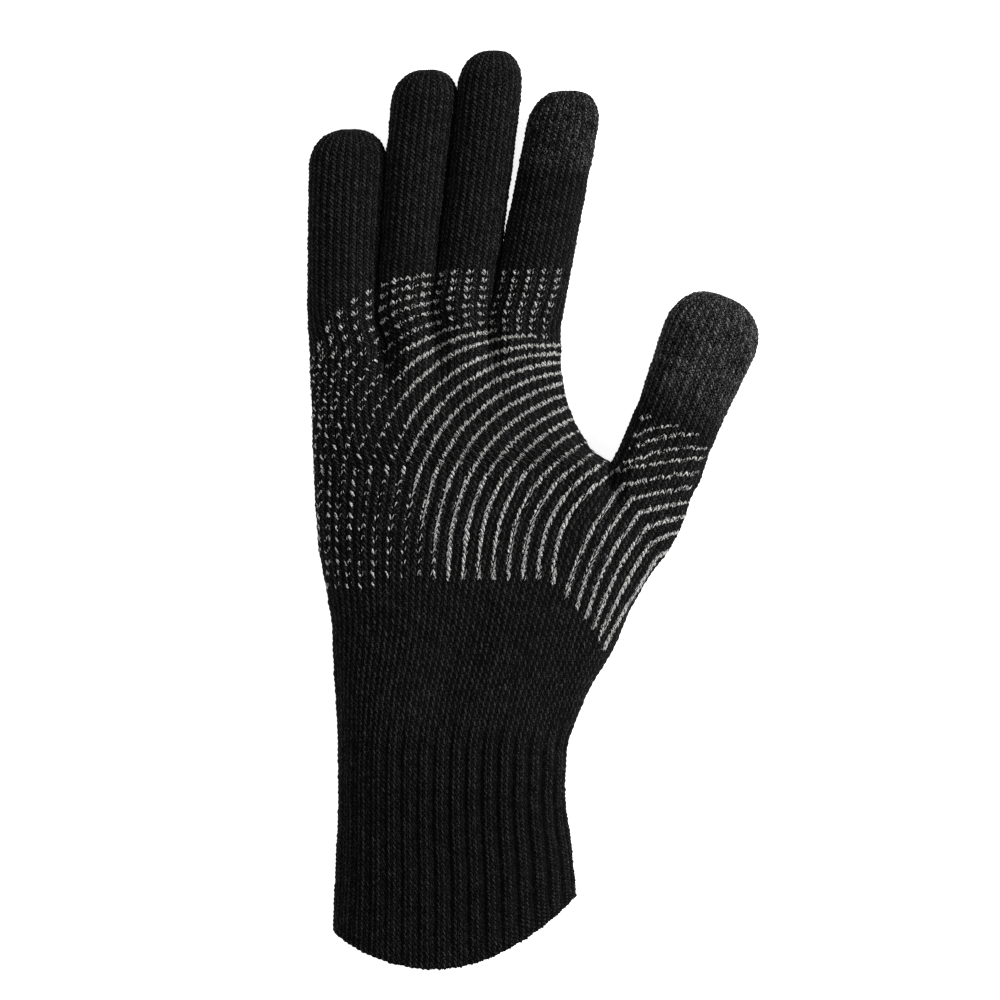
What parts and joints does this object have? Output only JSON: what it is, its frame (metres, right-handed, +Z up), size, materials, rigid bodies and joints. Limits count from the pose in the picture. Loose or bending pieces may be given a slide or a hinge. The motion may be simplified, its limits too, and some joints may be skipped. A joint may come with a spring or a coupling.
{
  "type": "touchscreen glove",
  "caption": "Seamless knitted right-hand glove with a ribbed cuff, silicone grip lines on the palm and conductive yarn at the thumb and index fingertips.",
  "frame": {"origin": "centre of the glove's box seen from above, on the table under the back of the hand", "axes": "+Y from the cuff to the fingertips, +X towards the thumb, +Z up out of the palm, with the glove lying on its back"},
  "size_m": [0.1273, 0.2603, 0.0343],
  "materials": {
    "knit_shell": "matte",
    "rib_knit": "matte",
    "elastic_yarn": "matte",
    "conductive_yarn": "satin",
    "grip_print": "satin"
  },
  "bodies": {
    "hand": {"lower_hand": "knit_shell", "upper_palm": "knit_shell", "palm_grip": "grip_print", "wrist_band": "knit_shell", "thumb_base_band": "knit_shell", "little_base_band": "knit_shell", "little_grip": "grip_print", "ring_base_band": "knit_shell", "ring_grip": "grip_print", "middle_base_band": "knit_shell", "middle_grip": "grip_print", "index_base_band": "knit_shell", "index_grip": "grip_print"},
    "cuff": {"cuff_rib": "rib_knit", "cuff_hem": "rib_knit", "cuff_elastic": "elastic_yarn"},
    "little_lower": {"little_lower": "knit_shell", "little_knuckle_band": "knit_shell"},
    "little_upper": {"little_upper": "knit_shell"},
    "ring_lower": {"ring_lower": "knit_shell", "ring_knuckle_band": "knit_shell"},
    "ring_upper": {"ring_upper": "knit_shell"},
    "middle_lower": {"middle_lower": "knit_shell", "middle_knuckle_band": "knit_shell"},
    "middle_upper": {"middle_upper": "knit_shell"},
    "index_lower": {"index_lower": "knit_shell", "index_knuckle_band": "knit_shell"},
    "index_upper": {"index_upper": "knit_shell", "index_touch_tip": "conductive_yarn"},
    "thumb_lower": {"thumb_lower": "knit_shell", "thumb_grip": "grip_print", "thumb_knuckle_band": "conductive_yarn"},
    "thumb_upper": {"thumb_touch_tip": "conductive_yarn"}
  },
  "joints": [
    {"name": "wrist_bend", "type": "hinge", "parent": "hand", "child": "cuff", "pos_m": [-0.0225, -0.062, 0.0206], "axis": [-1, 0, 0], "range_deg": [0, 60], "deforming": ["wrist_band"]},
    {"name": "little_base_bend", "type": "hinge", "parent": "hand", "child": "little_lower", "pos_m": [-0.0542, 0.0525, 0.0129], "axis": [1, 0, 0], "range_deg": [0, 75], "deforming": ["little_base_band", "little_grip"]},
    {"name": "little_knuckle_bend", "type": "hinge", "parent": "little_lower", "child": "little_upper", "pos_m": [-0.0539, 0.079, 0.0129], "axis": [1, 0, 0], "range_deg": [0, 80], "deforming": ["little_knuckle_band"]},
    {"name": "ring_base_bend", "type": "hinge", "parent": "hand", "child": "ring_lower", "pos_m": [-0.0364, 0.0585, 0.0129], "axis": [1, 0, 0], "range_deg": [0, 75], "deforming": ["ring_base_band", "ring_grip"]},
    {"name": "ring_knuckle_bend", "type": "hinge", "parent": "ring_lower", "child": "ring_upper", "pos_m": [-0.0339, 0.09, 0.0129], "axis": [1, 0, 0], "range_deg": [0, 80], "deforming": ["ring_knuckle_band"]},
    {"name": "middle_base_bend", "type": "hinge", "parent": "hand", "child": "middle_lower", "pos_m": [-0.0203, 0.059, 0.0129], "axis": [1, 0, 0], "range_deg": [0, 75], "deforming": ["middle_base_band", "middle_grip"]},
    {"name": "middle_knuckle_bend", "type": "hinge", "parent": "middle_lower", "child": "middle_upper", "pos_m": [-0.0158, 0.092, 0.0129], "axis": [1, 0, 0], "range_deg": [0, 80], "deforming": ["middle_knuckle_band"]},
    {"name": "index_base_bend", "type": "hinge", "parent": "hand", "child": "index_lower", "pos_m": [-0.0019, 0.057, 0.0129], "axis": [1, 0, 0], "range_deg": [0, 75], "deforming": ["index_base_band", "index_grip"]},
    {"name": "index_knuckle_bend", "type": "hinge", "parent": "index_lower", "child": "index_upper", "pos_m": [0.004, 0.087, 0.0129], "axis": [1, 0, 0], "range_deg": [0, 80], "deforming": ["index_knuckle_band"]},
    {"name": "thumb_base_bend", "type": "hinge", "parent": "hand", "child": "thumb_lower", "pos_m": [0.03542, 0.01128, 0.01483], "axis": [0.9272, -0.3746, 0], "range_deg": [0, 50], "deforming": ["thumb_base_band"]},
    {"name": "thumb_knuckle_bend", "type": "hinge", "parent": "thumb_lower", "child": "thumb_upper", "pos_m": [0.04441, 0.03353, 0.01483], "axis": [0.9272, -0.3746, 0], "range_deg": [0, 60], "deforming": ["thumb_knuckle_band"]}
  ]
}
